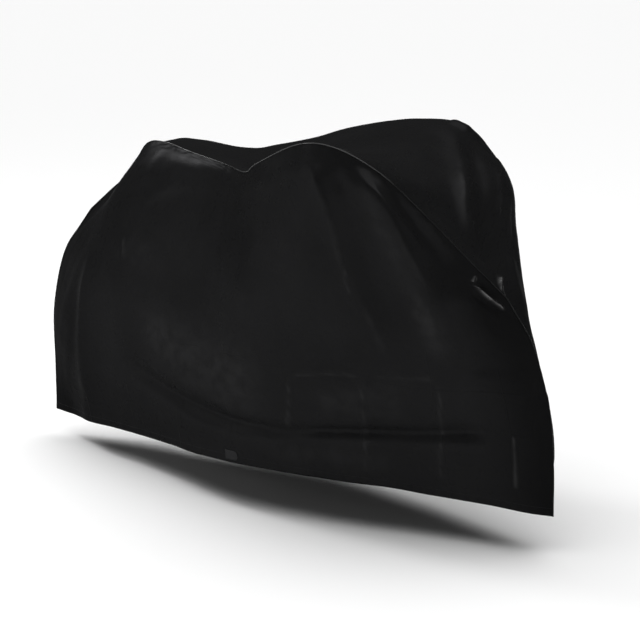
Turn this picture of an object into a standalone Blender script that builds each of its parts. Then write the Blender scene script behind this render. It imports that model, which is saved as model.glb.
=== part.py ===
"""Bicycle cover: a bag of thin film in two side panels, in the shape in which it hangs over a bicycle.

Metres, +Z up, front wheel towards +X. The tables give x from the middle between the wheel axles, y from the
bicycle's middle plane (its left side is +Y) and heights above the ground. The cover is then set so that the origin
is the place under its top where the saddle carries it.
"""

from collections import namedtuple

import bpy
import numpy as np

# Driving sizes
FILM_THICKNESS = 0.0015
SEAM_GAP = 0.0003
SADDLE_X = -0.34
SADDLE_Z = 0.970

# Mesh density: cells along the cover, from the seam to the crest, and from the crest to the hem
ALONG_STEPS = 56
TOP_STEPS = 7
WALL_STEPS = 18

# Folds: steps along each one's own path, how far they fade out from the seam and from their ends, and how much
# they widen from start to end
FOLD_STEPS = 24
SEAM_FADE = 0.030
END_FADE = 0.25
FOLD_FAN = 0.35

# The reinforcing patch on the right panel's hem
PATCH_LENGTH = 0.050
PATCH_HEIGHT = 0.027
PATCH_THICKNESS = 0.001
PATCH_CLEARANCE = 0.0004
PATCH_STATION = 6.90
PATCH_ABOVE_HEM = 0.009
PATCH_ROUND_STEPS = 6

# Levels of a panel, from the seam (0) to the hem (1)
TOP_LEVEL = 0.12
CREST_LEVEL = 0.24
BELLY_LEVEL = 0.50
SKIRT_LEVEL = 0.80

Seam = namedtuple("Seam", "x y z")
SEAM = [
    Seam(-0.735, 0.000, 0.731),
    Seam(-0.650, 0.000, 0.796),
    Seam(-0.562, -0.003, 0.862),
    Seam(-0.490, -0.008, 0.950),
    Seam(-0.404, -0.020, 0.964),
    Seam(-0.300, -0.042, 0.952),
    Seam(-0.100, -0.100, 0.938),
    Seam(0.028, -0.165, 0.937),
    Seam(0.110, -0.208, 0.974),
    Seam(0.350, -0.322, 1.059),
    Seam(0.480, -0.325, 1.058),
    Seam(0.590, -0.280, 0.994),
    Seam(0.673, -0.202, 0.884),
    Seam(0.745, -0.120, 0.770),
    Seam(0.805, -0.045, 0.672),
]

Side = namedtuple("Side", "sag crest_x crest_y crest_z belly_y skirt_y hem_x hem_y hem_z lean")
RIGHT = [
    Side(0.000, -0.840, 0.000, 0.610, 0.000, 0.000, -0.910, 0.000, 0.077, 6.0),
    Side(0.000, -0.735, -0.045, 0.665, -0.080, -0.070, -0.800, -0.035, 0.087, 5.0),
    Side(0.000, -0.630, -0.060, 0.745, -0.130, -0.120, -0.690, -0.085, 0.093, 4.0),
    Side(-0.002, -0.535, -0.065, 0.840, -0.160, -0.150, -0.560, -0.105, 0.100, 3.0),
    Side(-0.006, -0.430, -0.065, 0.900, -0.180, -0.180, -0.430, -0.130, 0.110, 2.0),
    Side(-0.006, -0.305, -0.080, 0.895, -0.200, -0.210, -0.280, -0.170, 0.120, 1.5),
    Side(-0.006, -0.115, -0.130, 0.875, -0.220, -0.240, -0.110, -0.220, 0.130, 1.2),
    Side(-0.005, 0.022, -0.188, 0.865, -0.265, -0.260, 0.050, -0.240, 0.136, 1.2),
    Side(-0.004, 0.125, -0.238, 0.900, -0.300, -0.265, 0.220, -0.220, 0.140, 1.2),
    Side(-0.004, 0.360, -0.345, 0.980, -0.330, -0.260, 0.380, -0.200, 0.142, 1.2),
    Side(-0.004, 0.490, -0.345, 0.970, -0.300, -0.225, 0.520, -0.160, 0.140, 1.4),
    Side(-0.003, 0.600, -0.298, 0.905, -0.235, -0.172, 0.660, -0.115, 0.132, 1.6),
    Side(-0.003, 0.690, -0.220, 0.800, -0.160, -0.118, 0.780, -0.080, 0.124, 1.8),
    Side(-0.002, 0.775, -0.128, 0.685, -0.085, -0.062, 0.880, -0.045, 0.114, 2.0),
    Side(0.000, 0.845, 0.000, 0.570, 0.000, 0.000, 0.930, 0.000, 0.104, 3.0),
]
LEFT = [
    Side(0.000, -0.840, 0.000, 0.610, 0.000, 0.000, -0.910, 0.000, 0.077, 6.0),
    Side(0.000, -0.735, 0.050, 0.670, 0.080, 0.075, -0.800, 0.040, 0.090, 5.0),
    Side(0.000, -0.620, 0.060, 0.760, 0.125, 0.125, -0.680, 0.090, 0.100, 4.0),
    Side(-0.004, -0.530, 0.062, 0.862, 0.155, 0.150, -0.550, 0.115, 0.106, 3.0),
    Side(-0.010, -0.445, 0.070, 0.945, 0.175, 0.180, -0.420, 0.135, 0.112, 2.0),
    Side(-0.006, -0.340, 0.085, 0.962, 0.195, 0.205, -0.270, 0.165, 0.118, 1.5),
    Side(0.010, -0.210, 0.120, 0.950, 0.225, 0.235, -0.110, 0.205, 0.128, 1.2),
    Side(0.025, -0.060, 0.170, 0.978, 0.265, 0.255, 0.050, 0.235, 0.135, 1.2),
    Side(0.040, 0.110, 0.240, 1.030, 0.310, 0.265, 0.220, 0.225, 0.138, 1.2),
    Side(0.050, 0.350, 0.325, 1.052, 0.330, 0.260, 0.380, 0.195, 0.140, 1.2),
    Side(0.045, 0.480, 0.310, 0.986, 0.290, 0.225, 0.520, 0.165, 0.136, 1.4),
    Side(0.030, 0.585, 0.255, 0.920, 0.210, 0.170, 0.660, 0.120, 0.130, 1.6),
    Side(0.020, 0.650, 0.185, 0.825, 0.130, 0.115, 0.780, 0.080, 0.124, 1.8),
    Side(0.010, 0.730, 0.110, 0.710, 0.060, 0.060, 0.880, 0.040, 0.114, 2.0),
    Side(0.000, 0.845, 0.000, 0.570, 0.000, 0.000, 0.930, 0.000, 0.104, 3.0),
]


Fold = namedtuple("Fold", "name start middle end height width")
RIGHT_FOLDS = [
    Fold("grip_ridge", (10.3, 0.02), (11.3, 0.27), (11.75, 0.57), 0.024, 0.032),
    Fold("grip_ridge_foot", (11.2, 0.38), (11.45, 0.49), (11.6, 0.62), 0.006, 0.034),
    Fold("grip_valley", (11.0, 0.03), (11.95, 0.13), (12.6, 0.34), -0.016, 0.036),
    Fold("grip_back_ridge", (9.35, 0.15), (9.77, 0.38), (10.5, 0.65), 0.009, 0.024),
    Fold("grip_hollow", (9.9, 0.12), (10.35, 0.36), (10.85, 0.60), -0.012, 0.030),
    Fold("saddle_trough", (3.6, 0.40), (5.5, 0.25), (7.2, 0.14), -0.004, 0.036),
    Fold("middle_trough", (6.5, 0.24), (6.7, 0.50), (6.4, 0.80), -0.004, 0.045),
    Fold("rear_skirt_trough", (8.6, 0.885), (6.2, 0.86), (3.4, 0.76), -0.016, 0.030),
    Fold("front_skirt_trough", (7.6, 0.885), (10.4, 0.845), (12.9, 0.73), -0.014, 0.024),
    Fold("front_belly_hollow", (11.9, 0.59), (13.0, 0.48), (13.9, 0.40), -0.005, 0.030),
    Fold("front_corner_ridge", (13.9, 0.42), (13.4, 0.66), (12.85, 0.98), 0.013, 0.026),
    Fold("rear_corner_ridge", (2.5, 0.40), (2.35, 0.70), (2.1, 0.97), 0.007, 0.030),
    Fold("rear_hollow", (3.3, 0.45), (3.3, 0.65), (3.1, 0.85), -0.004, 0.035),
    Fold("tuck_ridge", (12.85, 0.19), (13.2, 0.185), (13.65, 0.156), 0.010, 0.012),
]
LEFT_FOLDS = [
    Fold("grip_knob", (9.0, 0.235), (9.25, 0.24), (9.5, 0.245), 0.009, 0.018),
    Fold("grip_front_hollow", (9.55, 0.245), (9.85, 0.255), (10.2, 0.27), -0.010, 0.020),
    Fold("grip_to_corner_ridge", (9.2, 0.22), (11.0, 0.152), (12.8, 0.085), 0.014, 0.030),
    Fold("far_front_trough", (10.0, 0.21), (11.2, 0.18), (12.4, 0.156), -0.006, 0.028),
    Fold("corner_fold", (12.7, 0.22), (13.1, 0.21), (13.6, 0.22), 0.006, 0.020),
    Fold("bar_hollow", (8.6, 0.05), (9.6, 0.10), (11.2, 0.07), -0.009, 0.050),
    Fold("saddle_valley", (7.0, 0.04), (6.6, 0.13), (6.0, 0.26), -0.009, 0.030),
    Fold("grip_ridge", (9.7, 0.28), (10.3, 0.48), (11.2, 0.78), 0.018, 0.036),
    Fold("grip_back_ridge", (8.9, 0.30), (8.6, 0.50), (8.3, 0.74), 0.012, 0.032),
    Fold("grip_hollow", (9.3, 0.32), (9.5, 0.52), (9.7, 0.76), -0.010, 0.028),
    Fold("front_trough", (10.8, 0.30), (12.0, 0.42), (13.2, 0.55), -0.014, 0.030),
    Fold("saddle_trough", (3.8, 0.42), (5.4, 0.33), (7.0, 0.32), -0.008, 0.036),
    Fold("middle_trough", (6.3, 0.36), (6.6, 0.55), (6.8, 0.80), -0.007, 0.042),
    Fold("rear_skirt_trough", (3.2, 0.78), (6.0, 0.85), (8.4, 0.87), -0.012, 0.026),
    Fold("front_skirt_trough", (8.0, 0.88), (10.6, 0.835), (12.9, 0.74), -0.010, 0.026),
    Fold("front_corner_ridge", (13.8, 0.45), (13.4, 0.68), (12.95, 0.97), 0.012, 0.026),
    Fold("rear_corner_ridge", (2.4, 0.42), (2.3, 0.70), (2.0, 0.97), 0.007, 0.030),
]

Finish = namedtuple("Finish", "name colour roughness")
FILM = Finish("black_film", (0.012, 0.012, 0.013), 0.42)
PATCH = Finish("black_patch", (0.020, 0.020, 0.021), 0.55)


def curve_through(knots, values, at):
    """Smooth curve through the values at the knots, read at other places."""
    knots = np.asarray(knots, float)
    values = np.asarray(values, float)
    steps = np.diff(knots)[:, None]
    slopes = np.diff(values, axis=0) / steps
    inner = (slopes[:-1] * steps[1:] + slopes[1:] * steps[:-1]) / (steps[:-1] + steps[1:])
    tangents = np.vstack([slopes[:1], inner, slopes[-1:]])
    i = np.clip(np.searchsorted(knots, at, side="right") - 1, 0, len(knots) - 2)
    h = steps[i]
    t = ((at - knots[i]) / h[:, 0])[:, None]
    return (
        (2 * t**3 - 3 * t**2 + 1) * values[i]
        + (t**3 - 2 * t**2 + t) * h * tangents[i]
        + (3 * t**2 - 2 * t**3) * values[i + 1]
        + (t**3 - t**2) * h * tangents[i + 1]
    )


def panel_stations():
    """Places of the mesh columns along the cover, counted in rows of the tables."""
    return np.linspace(0, len(SEAM) - 1, ALONG_STEPS + 1)


def panel_levels():
    """Levels of the mesh rows from the seam (0) to the hem (1)."""
    top = np.linspace(0, CREST_LEVEL, TOP_STEPS + 1)
    wall = np.linspace(CREST_LEVEL, 1, WALL_STEPS + 1)
    return np.concatenate([top, wall[1:]])


def panel_surface(sides):
    """Smooth outer surface of one panel: columns along the cover by levels from seam to hem."""
    rows = np.arange(len(SEAM))
    stations = panel_stations()
    levels = panel_levels()
    seam = curve_through(rows, SEAM, stations)
    side = curve_through(rows, sides, stations)
    wall = np.array([CREST_LEVEL, BELLY_LEVEL, SKIRT_LEVEL, 1])
    drop = (wall - CREST_LEVEL) / (1 - CREST_LEVEL)
    knots = np.concatenate([[0, TOP_LEVEL], wall])
    points = np.empty((len(stations), len(levels), 3))
    for i, values in enumerate(side):
        row = Side(*values)
        crest = np.array([row.crest_x, row.crest_y, row.crest_z])
        top = (seam[i] + crest) / 2 - (0, 0, row.sag)
        x = row.crest_x + (row.hem_x - row.crest_x) * (1 - (1 - drop) ** row.lean)
        y = [row.crest_y, row.belly_y, row.skirt_y, row.hem_y]
        z = row.crest_z + (row.hem_z - row.crest_z) * drop
        line = np.vstack([seam[i], top, np.stack([x, y, z], 1)])
        points[i] = curve_through(knots, line, levels)
    return points


def surface_normals(points, outward):
    """Unit normals of a panel's grid; outward is +1 or -1, for the way that its columns and levels turn."""
    along = np.gradient(points, axis=0)
    down = np.gradient(points, axis=1)
    normals = np.cross(along, down) * outward
    return normals / np.linalg.norm(normals, axis=2, keepdims=True)


def on_grid(grid, station, level):
    """Value of a panel's grid at a station and a level, between its columns and rows."""
    u = np.interp(station, panel_stations(), np.arange(grid.shape[0]))
    v = np.interp(level, panel_levels(), np.arange(grid.shape[1]))
    i = int(min(u, grid.shape[0] - 2))
    j = int(min(v, grid.shape[1] - 2))
    a = u - i
    b = v - j
    near = grid[i, j] * (1 - b) + grid[i, j + 1] * b
    far = grid[i + 1, j] * (1 - b) + grid[i + 1, j + 1] * b
    return near * (1 - a) + far * a


def distance_to_line(points, line):
    """Shortest distance of each grid point from a line of straight steps, and the place on it from 0 to 1."""
    best = np.full(points.shape[:2], np.inf)
    place = np.zeros(points.shape[:2])
    for i, (start, end) in enumerate(zip(line[:-1], line[1:])):
        step = end - start
        t = np.clip(((points - start) @ step) / (step @ step), 0, 1)
        gap = np.linalg.norm(points - start - t[..., None] * step, axis=2)
        nearer = gap < best
        best = np.where(nearer, gap, best)
        place = np.where(nearer, (i + t) / (len(line) - 1), place)
    return best, place


def fold_height(points, fold):
    """Height of one fold over the whole grid: a rounded ridge or trough along its path."""
    t = np.linspace(0, 1, FOLD_STEPS + 1)
    path = curve_through([0, 0.5, 1], [fold.start, fold.middle, fold.end], t)
    line = np.array([on_grid(points, station, level) for station, level in path])
    gap, place = distance_to_line(points, line)
    ends = np.clip(np.minimum(place, 1 - place) / END_FADE, 0, 1)
    swell = ends * ends * (3 - 2 * ends)
    width = fold.width * (1 + FOLD_FAN * (2 * place - 1))
    return fold.height * swell * np.exp(-((gap / width) ** 2))


def seam_fade(points):
    """0 on the seam, rising to 1 away from it, so that both panels keep one seam line."""
    edge = np.concatenate([points[0, ::-1], points[1:-1, 0], points[-1]])
    gap = np.linalg.norm(points[:, :, None] - edge, axis=3).min(axis=2)
    return 1 - np.exp(-((gap / SEAM_FADE) ** 2))


def folded_panel(sides, folds, outward):
    """Outer surface of one panel with its folds, and its normals."""
    smooth = panel_surface(sides)
    normals = surface_normals(smooth, outward)
    height = sum(fold_height(smooth, fold) for fold in folds) * seam_fade(smooth)
    points = smooth + normals * height[:, :, None]
    return points, surface_normals(points, outward)


def seam_line(grid):
    """A grid's values along the seam: up the rear end, over the top and down the front end."""
    return np.concatenate([grid[0, :0:-1], grid[:, 0], grid[-1, 1:]])


def set_seam_line(grid, values):
    """Put values along the seam back into a grid."""
    rows = grid.shape[1] - 1
    columns = grid.shape[0]
    grid[0, :0:-1] = values[:rows]
    grid[:, 0] = values[rows:rows + columns]
    grid[-1, 1:] = values[rows + columns:]


def away_from(panels, line, run):
    """Unit directions that point out of the cover along its seam, square to the seam's run."""
    columns, rows = panels[0][0].shape[:2]
    inside = np.ix_(np.clip(np.arange(columns), 1, columns - 2), np.maximum(np.arange(rows), 1))
    out = np.zeros_like(line)
    for points, normals in panels:
        into = seam_line(points[inside]) - line
        out += seam_line(normals) - into / np.linalg.norm(into, axis=1, keepdims=True)
    out -= run * (out * run).sum(axis=1, keepdims=True)
    return out / np.linalg.norm(out, axis=1, keepdims=True)


def film_grids(panels):
    """Outer and inner grids of both panels, whose edges stand half the seam's gap from the seam."""
    line = seam_line(panels[0][0])
    run = np.gradient(line, axis=0)
    run = run / np.linalg.norm(run, axis=1, keepdims=True)
    out = away_from(panels, line, run)
    across = np.cross(run, out) * SEAM_GAP / 2
    grids = []
    for (points, normals), side in zip(panels, (1, -1)):
        outer = points.copy()
        inner = points - normals * FILM_THICKNESS
        set_seam_line(outer, line + across * side)
        set_seam_line(inner, line + across * side - out * FILM_THICKNESS)
        grids.append((outer, inner))
    return grids


def shell_mesh(name, outer, inner, flip):
    """Closed mesh between two grids of the same size."""
    columns, rows = outer.shape[:2]
    vertices = np.concatenate([outer.reshape(-1, 3), inner.reshape(-1, 3)])
    number = np.arange(columns * rows).reshape(columns, rows)
    under = number + columns * rows
    rim = np.concatenate([number[:, 0], number[-1, 1:], number[-2::-1, -1], number[0, -2:0:-1]])
    faces = []
    for i in range(columns - 1):
        for j in range(rows - 1):
            faces.append((number[i, j], number[i, j + 1], number[i + 1, j + 1], number[i + 1, j]))
            faces.append((under[i, j], under[i + 1, j], under[i + 1, j + 1], under[i, j + 1]))
    for a, b in zip(rim, np.roll(rim, -1)):
        faces.append((a, b, b + columns * rows, a + columns * rows))
    if flip:
        faces = [face[::-1] for face in faces]
    mesh = bpy.data.meshes.new(name)
    mesh.from_pydata(vertices.tolist(), [], [tuple(map(int, face)) for face in faces])
    mesh.shade_smooth()
    return mesh


def material(finish):
    """Principled material of a finish."""
    made = bpy.data.materials.new(finish.name)
    made.use_nodes = True
    shader = made.node_tree.nodes["Principled BSDF"]
    shader.inputs["Base Color"].default_value = (*finish.colour, 1)
    shader.inputs["Roughness"].default_value = finish.roughness
    return made


def add_node(name, outer, inner, flip, finish):
    """One named object from its outer and inner grids, set in the part's own frame."""
    origin = np.array([SADDLE_X, 0, SADDLE_Z])
    mesh = shell_mesh(name, outer - origin, inner - origin, flip)
    mesh.materials.append(material(finish))
    node = bpy.data.objects.new(name, mesh)
    bpy.context.scene.collection.objects.link(node)
    return node


def patch_grids(points, normals):
    """Outer and inner grids of the hem patch: a strip with a rounded front end, along the right hem."""
    hem = on_grid(points, PATCH_STATION, 1)
    above = on_grid(points, PATCH_STATION, SKIRT_LEVEL)
    ahead = on_grid(points, PATCH_STATION + 1, 1)
    level_length = np.linalg.norm(hem - above) / (1 - SKIRT_LEVEL)
    station_length = np.linalg.norm(ahead - hem)
    radius = PATCH_HEIGHT / 2
    straight = PATCH_LENGTH - radius
    turn = np.linspace(0, np.pi / 2, PATCH_ROUND_STEPS + 1)[1:-1]
    along = np.concatenate([[0, straight / 2, straight], straight + radius * np.sin(turn)])
    half = np.concatenate([[radius, radius, radius], radius * np.cos(turn)])
    outer = np.empty((len(along), 3, 3))
    inner = np.empty_like(outer)
    for i, (x, reach) in enumerate(zip(along, half)):
        for j, side in enumerate((-1, 0, 1)):
            station = PATCH_STATION + (x - PATCH_LENGTH / 2) / station_length
            level = 1 - (PATCH_ABOVE_HEM + radius - side * reach) / level_length
            place = on_grid(points, station, level)
            normal = on_grid(normals, station, level)
            inner[i, j] = place + normal * PATCH_CLEARANCE
            outer[i, j] = inner[i, j] + normal * PATCH_THICKNESS
    return outer, inner


def build():
    """Make the two panels and the hem patch."""
    for old in list(bpy.data.objects):
        bpy.data.objects.remove(old, do_unlink=True)
    right = folded_panel(RIGHT, RIGHT_FOLDS, -1)
    left = folded_panel(LEFT, LEFT_FOLDS, 1)
    right_grids, left_grids = film_grids((right, left))
    add_node("right_panel", *right_grids, False, FILM)
    add_node("left_panel", *left_grids, True, FILM)
    add_node("hem_patch", *patch_grids(*right), False, PATCH)


build()
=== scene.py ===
"""Bicycle cover: two panels of black film with their seam, hems and patch, hung over an unseen bicycle.

Lengths are in metres. The tables count x from the middle between the wheel axles, y from the bicycle's
middle plane and z from the ground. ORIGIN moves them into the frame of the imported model.
"""

from __future__ import annotations

import logging
from dataclasses import dataclass, field
from enum import Enum

import bpy
import numpy as np
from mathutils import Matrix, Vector


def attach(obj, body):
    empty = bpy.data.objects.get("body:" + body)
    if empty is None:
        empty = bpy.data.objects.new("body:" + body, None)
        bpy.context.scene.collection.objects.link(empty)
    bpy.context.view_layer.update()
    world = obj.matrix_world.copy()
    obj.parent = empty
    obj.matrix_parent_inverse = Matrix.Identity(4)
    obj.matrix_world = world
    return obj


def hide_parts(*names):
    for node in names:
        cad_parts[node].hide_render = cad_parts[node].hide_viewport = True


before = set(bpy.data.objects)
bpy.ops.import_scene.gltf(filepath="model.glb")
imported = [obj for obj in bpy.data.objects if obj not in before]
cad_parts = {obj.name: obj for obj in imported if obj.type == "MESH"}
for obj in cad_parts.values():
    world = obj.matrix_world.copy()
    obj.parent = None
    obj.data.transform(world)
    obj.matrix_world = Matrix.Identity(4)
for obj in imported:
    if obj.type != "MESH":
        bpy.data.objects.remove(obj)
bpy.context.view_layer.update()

log = logging.getLogger("bicycle_cover")

Grid = np.ndarray
Triple = tuple[float, float, float]
Span = tuple[float, float]
Piece = bpy.types.Object
Material = bpy.types.Material
Socket = bpy.types.NodeSocket

ORIGIN = np.array([-0.34, 0.0, 0.97])
GROUND_Z = -float(ORIGIN[2])


class Hand(Enum):
    """The two sides of the bicycle; the value is the sign of y."""

    RIGHT = -1
    LEFT = 1


@dataclass(frozen=True)
class SideRow:
    """One section of a panel: how it sags to its crest, where it hangs, and where its hem lies."""

    sag: float
    crest: Triple
    belly_y: float
    skirt_y: float
    hem: Triple
    lean: float

    def values(self) -> list[float]:
        """All the sizes of the row, in the order in which they are read back."""
        return [self.sag, *self.crest, self.belly_y, self.skirt_y, *self.hem, self.lean]


@dataclass(frozen=True)
class Fold:
    """A rounded ridge (height above 0) or trough, along a path of (station, level) places.

    A station counts the rows of the tables from the rear end. A level counts from 0 at the seam to 1 at the
    hem. Fade is the share of the path over which each end dies out. Polish is how far the film's coating
    shines along the fold, from 0 to 1.
    """

    name: str
    path: tuple[Span, ...]
    height: float
    width: float
    fade: float = 0.25
    polish: float = 0.0


# The seam's points and each side's sections, from the rear end to the front end. The sides share both ends.
SEAM_ROWS: tuple[Triple, ...] = (
    (-0.735, 0.0, 0.731),
    (-0.65, 0.0, 0.796),
    (-0.562, -0.003, 0.862),
    (-0.49, -0.008, 0.95),
    (-0.404, -0.02, 0.964),
    (-0.3, -0.042, 0.952),
    (-0.1, -0.1, 0.938),
    (0.028, -0.165, 0.937),
    (0.11, -0.208, 0.974),
    (0.35, -0.322, 1.059),
    (0.48, -0.325, 1.058),
    (0.59, -0.28, 0.994),
    (0.673, -0.202, 0.884),
    (0.745, -0.12, 0.77),
    (0.805, -0.045, 0.672),
)

REAR_END = SideRow(0.0, (-0.84, 0.0, 0.61), 0.0, 0.0, (-0.91, 0.0, 0.077), 6.0)
FRONT_END = SideRow(0.0, (0.845, 0.0, 0.57), 0.0, 0.0, (0.93, 0.0, 0.104), 3.0)

RIGHT_ROWS = (
    REAR_END,
    SideRow(0.0, (-0.735, -0.045, 0.665), -0.08, -0.07, (-0.8, -0.035, 0.087), 5.0),
    SideRow(0.0, (-0.63, -0.06, 0.745), -0.13, -0.12, (-0.69, -0.085, 0.093), 4.0),
    SideRow(-0.002, (-0.535, -0.065, 0.84), -0.16, -0.15, (-0.56, -0.105, 0.1), 3.0),
    SideRow(-0.006, (-0.43, -0.065, 0.9), -0.18, -0.18, (-0.43, -0.13, 0.11), 2.0),
    SideRow(-0.006, (-0.305, -0.08, 0.895), -0.2, -0.21, (-0.28, -0.17, 0.12), 1.5),
    SideRow(-0.006, (-0.115, -0.13, 0.875), -0.22, -0.24, (-0.11, -0.22, 0.13), 1.2),
    SideRow(-0.005, (0.022, -0.188, 0.865), -0.265, -0.26, (0.05, -0.24, 0.136), 1.2),
    SideRow(-0.004, (0.125, -0.238, 0.9), -0.3, -0.265, (0.22, -0.22, 0.14), 1.2),
    SideRow(-0.004, (0.36, -0.345, 0.98), -0.33, -0.26, (0.38, -0.2, 0.142), 1.2),
    SideRow(-0.004, (0.49, -0.345, 0.97), -0.3, -0.225, (0.52, -0.16, 0.14), 1.4),
    SideRow(-0.003, (0.6, -0.298, 0.905), -0.235, -0.172, (0.66, -0.115, 0.132), 1.6),
    SideRow(-0.003, (0.69, -0.22, 0.8), -0.16, -0.118, (0.78, -0.08, 0.124), 1.8),
    SideRow(-0.002, (0.775, -0.128, 0.685), -0.085, -0.062, (0.88, -0.045, 0.114), 2.0),
    FRONT_END,
)

LEFT_ROWS = (
    REAR_END,
    SideRow(0.0, (-0.735, 0.05, 0.67), 0.08, 0.075, (-0.8, 0.04, 0.09), 5.0),
    SideRow(0.0, (-0.62, 0.06, 0.76), 0.125, 0.125, (-0.68, 0.09, 0.1), 4.0),
    SideRow(-0.004, (-0.53, 0.062, 0.862), 0.155, 0.15, (-0.55, 0.115, 0.106), 3.0),
    SideRow(-0.01, (-0.445, 0.07, 0.945), 0.175, 0.18, (-0.42, 0.135, 0.112), 2.0),
    SideRow(-0.006, (-0.34, 0.085, 0.962), 0.195, 0.205, (-0.27, 0.165, 0.118), 1.5),
    SideRow(0.01, (-0.21, 0.12, 0.95), 0.225, 0.235, (-0.11, 0.205, 0.128), 1.2),
    SideRow(0.025, (-0.06, 0.17, 0.978), 0.265, 0.255, (0.05, 0.235, 0.135), 1.2),
    SideRow(0.04, (0.11, 0.24, 1.03), 0.31, 0.265, (0.22, 0.225, 0.138), 1.2),
    SideRow(0.05, (0.35, 0.325, 1.052), 0.33, 0.26, (0.38, 0.195, 0.14), 1.2),
    SideRow(0.045, (0.48, 0.31, 0.986), 0.29, 0.225, (0.52, 0.165, 0.136), 1.4),
    SideRow(0.03, (0.585, 0.255, 0.92), 0.21, 0.17, (0.66, 0.12, 0.13), 1.6),
    SideRow(0.02, (0.65, 0.185, 0.825), 0.13, 0.115, (0.78, 0.08, 0.124), 1.8),
    SideRow(0.01, (0.73, 0.11, 0.71), 0.06, 0.06, (0.88, 0.04, 0.114), 2.0),
    FRONT_END,
)

# The main folds of each side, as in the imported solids, but with the right saddle trough half as deep
RIGHT_FOLDS = (
    Fold("grip_ridge", ((10.3, 0.02), (11.3, 0.27), (11.75, 0.57)), 0.024, 0.032),
    Fold("grip_ridge_foot", ((11.2, 0.38), (11.45, 0.49), (11.6, 0.62)), 0.006, 0.034),
    Fold("grip_valley", ((11.0, 0.03), (11.95, 0.13), (12.6, 0.34)), -0.016, 0.036),
    Fold("grip_back_ridge", ((9.35, 0.15), (9.77, 0.38), (10.5, 0.65)), 0.009, 0.024),
    Fold("grip_hollow", ((9.9, 0.12), (10.35, 0.36), (10.85, 0.6)), -0.012, 0.03),
    Fold("saddle_trough", ((3.6, 0.4), (5.5, 0.25), (7.2, 0.14)), -0.002, 0.036),
    Fold("middle_trough", ((6.5, 0.24), (6.7, 0.5), (6.4, 0.8)), -0.004, 0.045),
    Fold("rear_skirt_trough", ((8.6, 0.885), (6.2, 0.86), (3.4, 0.76)), -0.016, 0.03),
    Fold("front_skirt_trough", ((7.6, 0.885), (10.4, 0.845), (12.9, 0.73)), -0.014, 0.024),
    Fold("front_belly_hollow", ((11.9, 0.59), (13.0, 0.48), (13.9, 0.4)), -0.005, 0.03),
    Fold("front_corner_ridge", ((13.9, 0.42), (13.4, 0.66), (12.85, 0.98)), 0.013, 0.026),
    Fold("rear_corner_ridge", ((2.5, 0.4), (2.35, 0.7), (2.1, 0.97)), 0.007, 0.03),
    Fold("rear_hollow", ((3.3, 0.45), (3.3, 0.65), (3.1, 0.85)), -0.004, 0.035),
    Fold("tuck_ridge", ((12.85, 0.19), (13.2, 0.185), (13.65, 0.156)), 0.01, 0.012),
)

LEFT_FOLDS = (
    Fold("grip_knob", ((9.0, 0.235), (9.25, 0.24), (9.5, 0.245)), 0.009, 0.018),
    Fold("grip_front_hollow", ((9.55, 0.245), (9.85, 0.255), (10.2, 0.27)), -0.01, 0.02),
    Fold("grip_to_corner_ridge", ((9.2, 0.22), (11.0, 0.152), (12.8, 0.085)), 0.014, 0.03),
    Fold("far_front_trough", ((10.0, 0.21), (11.2, 0.18), (12.4, 0.156)), -0.006, 0.028),
    Fold("corner_fold", ((12.7, 0.22), (13.1, 0.21), (13.6, 0.22)), 0.006, 0.02),
    Fold("bar_hollow", ((8.6, 0.05), (9.6, 0.1), (11.2, 0.07)), -0.009, 0.05),
    Fold("saddle_valley", ((7.0, 0.04), (6.6, 0.13), (6.0, 0.26)), -0.009, 0.03),
    Fold("grip_ridge", ((9.7, 0.28), (10.3, 0.48), (11.2, 0.78)), 0.018, 0.036),
    Fold("grip_back_ridge", ((8.9, 0.3), (8.6, 0.5), (8.3, 0.74)), 0.012, 0.032),
    Fold("grip_hollow", ((9.3, 0.32), (9.5, 0.52), (9.7, 0.76)), -0.01, 0.028),
    Fold("front_trough", ((10.8, 0.3), (12.0, 0.42), (13.2, 0.55)), -0.014, 0.03),
    Fold("saddle_trough", ((3.8, 0.42), (5.4, 0.33), (7.0, 0.32)), -0.008, 0.036),
    Fold("middle_trough", ((6.3, 0.36), (6.6, 0.55), (6.8, 0.8)), -0.007, 0.042),
    Fold("rear_skirt_trough", ((3.2, 0.78), (6.0, 0.85), (8.4, 0.87)), -0.012, 0.026),
    Fold("front_skirt_trough", ((8.0, 0.88), (10.6, 0.835), (12.9, 0.74)), -0.01, 0.026),
    Fold("front_corner_ridge", ((13.8, 0.45), (13.4, 0.68), (12.95, 0.97)), 0.012, 0.026),
    Fold("rear_corner_ridge", ((2.4, 0.42), (2.3, 0.7), (2.0, 0.97)), 0.007, 0.03),
)

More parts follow.
